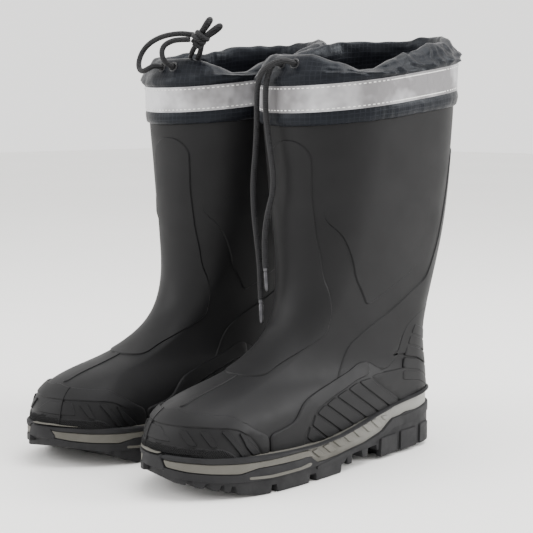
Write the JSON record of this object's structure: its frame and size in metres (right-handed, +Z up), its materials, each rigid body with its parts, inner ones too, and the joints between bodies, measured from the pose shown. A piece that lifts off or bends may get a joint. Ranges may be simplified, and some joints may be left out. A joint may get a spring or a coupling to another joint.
{
  "type": "winter boots",
  "caption": "Pair of insulated rubber winter boots with lugged soles, nylon drawcord collars and silver reflective tape.",
  "frame": {"origin": "on the floor under the middle of the pair's box, measured without the free cords", "axes": "+Z up, toes towards -Y, right boot at -X and left boot at +X"},
  "size_m": [0.2996, 0.3519, 0.3937],
  "materials": {
    "boot_rubber": "satin moulded rubber",
    "outsole_rubber": "matte tread rubber",
    "midsole_eva": "matte warm grey moulded foam rubber",
    "lining_fleece": "brushed knit on foam",
    "footbed_foam": "felt faced foam",
    "fibreboard": "pressed fibre board",
    "steel": "plain spring steel",
    "collar_nylon": "coated ripstop nylon",
    "reflective_tape": "silver glass bead reflective tape",
    "eyelet_metal": "black enamelled",
    "drawcord": "braided polyester",
    "aglet_metal": "dark gloss metal tip"
  },
  "bodies": {
    "right_boot": {"right_outsole": "outsole_rubber", "right_midsole": "midsole_eva", "right_shank": "steel", "right_insole_board": "fibreboard", "right_upper_shell": "boot_rubber", "right_lining": "lining_fleece", "right_toe_cap": "boot_rubber", "right_vamp_ridge": "boot_rubber", "right_shin_guard": "boot_rubber", "right_outer_calf_panel": "boot_rubber", "right_inner_calf_panel": "boot_rubber", "right_back_stay": "boot_rubber", "right_heel_counter": "boot_rubber", "right_outer_side_guard": "boot_rubber", "right_inner_side_guard": "boot_rubber", "right_cuff": "collar_nylon", "right_cuff_hem": "collar_nylon", "right_reflective_tape": "reflective_tape", "right_eyelets": "eyelet_metal", "right_drawcord_run": "drawcord", "right_cord_loop_outer": "drawcord", "right_cord_loop_inner": "drawcord", "right_cord_end_upper": "drawcord", "right_cord_end_lower": "drawcord", "right_knot": "drawcord", "right_aglets": "aglet_metal"},
    "left_boot": {"left_outsole": "outsole_rubber", "left_midsole": "midsole_eva", "left_shank": "steel", "left_insole_board": "fibreboard", "left_upper_shell": "boot_rubber", "left_lining": "lining_fleece", "left_toe_cap": "boot_rubber", "left_vamp_ridge": "boot_rubber", "left_shin_guard": "boot_rubber", "left_outer_calf_panel": "boot_rubber", "left_inner_calf_panel": "boot_rubber", "left_back_stay": "boot_rubber", "left_heel_counter": "boot_rubber", "left_outer_side_guard": "boot_rubber", "left_inner_side_guard": "boot_rubber", "left_cuff": "collar_nylon", "left_cuff_hem": "collar_nylon", "left_reflective_tape": "reflective_tape", "left_eyelets": "eyelet_metal", "left_drawcord_run": "drawcord", "left_cord_tail_outer": "drawcord", "left_cord_tail_inner": "drawcord", "left_aglets": "aglet_metal"},
    "right_footbed": {"right_footbed": "footbed_foam"},
    "left_footbed": {"left_footbed": "footbed_foam"}
  },
  "joints": [
    {"name": "left_boot_lift", "type": "slide", "parent": "right_boot", "child": "left_boot", "axis": [0, 0, 1], "range_m": [0, 0.4]},
    {"name": "right_footbed_lift", "type": "hinge", "parent": "right_boot", "child": "right_footbed", "pos_m": [-0.076, -0.15, 0.045], "axis": [1, 0, 0], "range_deg": [0, 3.5]},
    {"name": "left_footbed_lift", "type": "hinge", "parent": "left_boot", "child": "left_footbed", "pos_m": [0.076, -0.15, 0.045], "axis": [1, 0, 0], "range_deg": [0, 3.5]}
  ]
}
